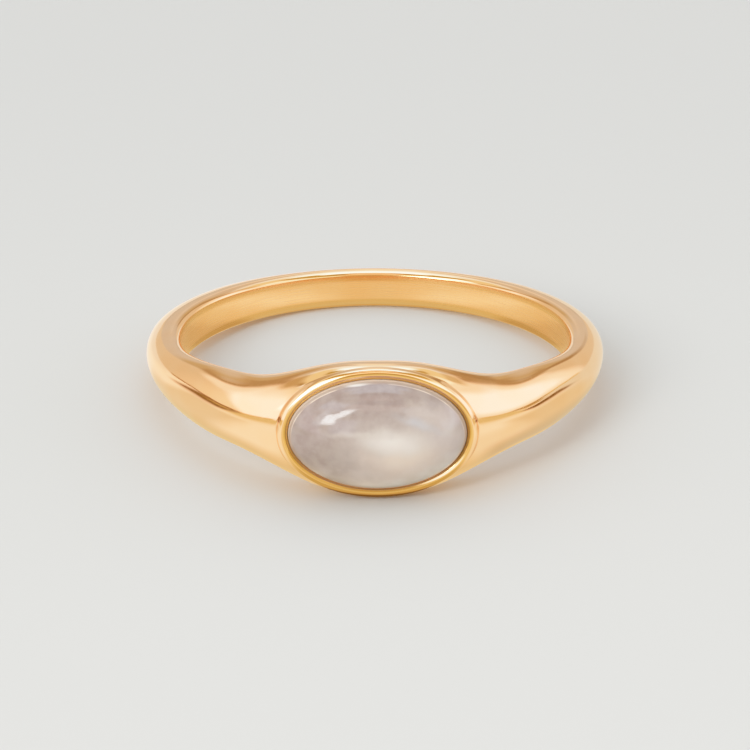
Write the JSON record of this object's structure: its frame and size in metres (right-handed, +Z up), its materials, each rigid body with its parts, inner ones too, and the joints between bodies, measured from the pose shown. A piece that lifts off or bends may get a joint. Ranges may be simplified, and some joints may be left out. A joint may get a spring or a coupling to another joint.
{
  "type": "finger ring",
  "caption": "Slim polished finger ring whose band widens into a head with an oval rim holding a domed milky stone, lying on its side.",
  "frame": {"origin": "centre of the outer box at its underside, on the floor that the ring lies on", "axes": "+Z up, -Y the way the stone looks, +Y towards the back of the band, +X to the right of a viewer who faces the stone; the finger's axis leans from +Z towards +Y"},
  "size_m": [0.0204, 0.0214, 0.006],
  "materials": {
    "gold": "polished gold plating",
    "moonstone": "polished milky translucent stone"
  },
  "bodies": {
    "root": {"ring_band": "gold", "moonstone": "moonstone"}
  },
  "joints": []
}
